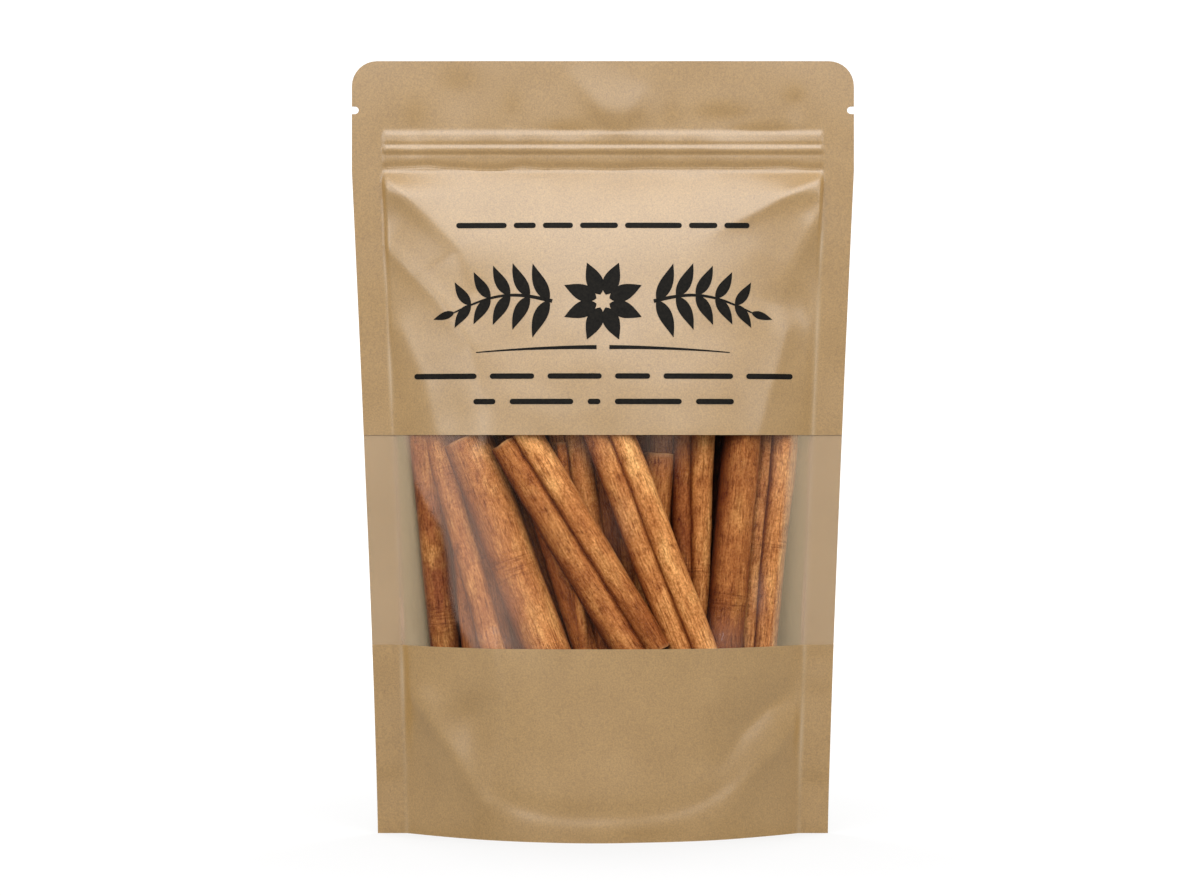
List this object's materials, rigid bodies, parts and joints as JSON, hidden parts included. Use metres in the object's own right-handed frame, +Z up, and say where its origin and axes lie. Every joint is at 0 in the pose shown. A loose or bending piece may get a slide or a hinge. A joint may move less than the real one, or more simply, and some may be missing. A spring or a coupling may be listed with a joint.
{
  "type": "stand-up pouch of cinnamon sticks",
  "caption": "Sealed stand-up pouch of kraft paper with a press-to-close zip and tear notches, full of cinnamon sticks that show through a clear window band.",
  "frame": {"origin": "on the floor, under the middle of the pouch's base", "axes": "+Z up; the pouch's front, with the window, faces -Y; X runs across its width"},
  "size_m": [0.16, 0.0568, 0.246],
  "materials": {
    "kraft_paper": "satin",
    "clear_film": "gloss",
    "cinnamon_bark": "matte",
    "black_ink": "satin"
  },
  "bodies": {
    "root": {"pouch": "kraft_paper", "window_film": "clear_film", "cinnamon_sticks": "cinnamon_bark"}
  },
  "joints": []
}
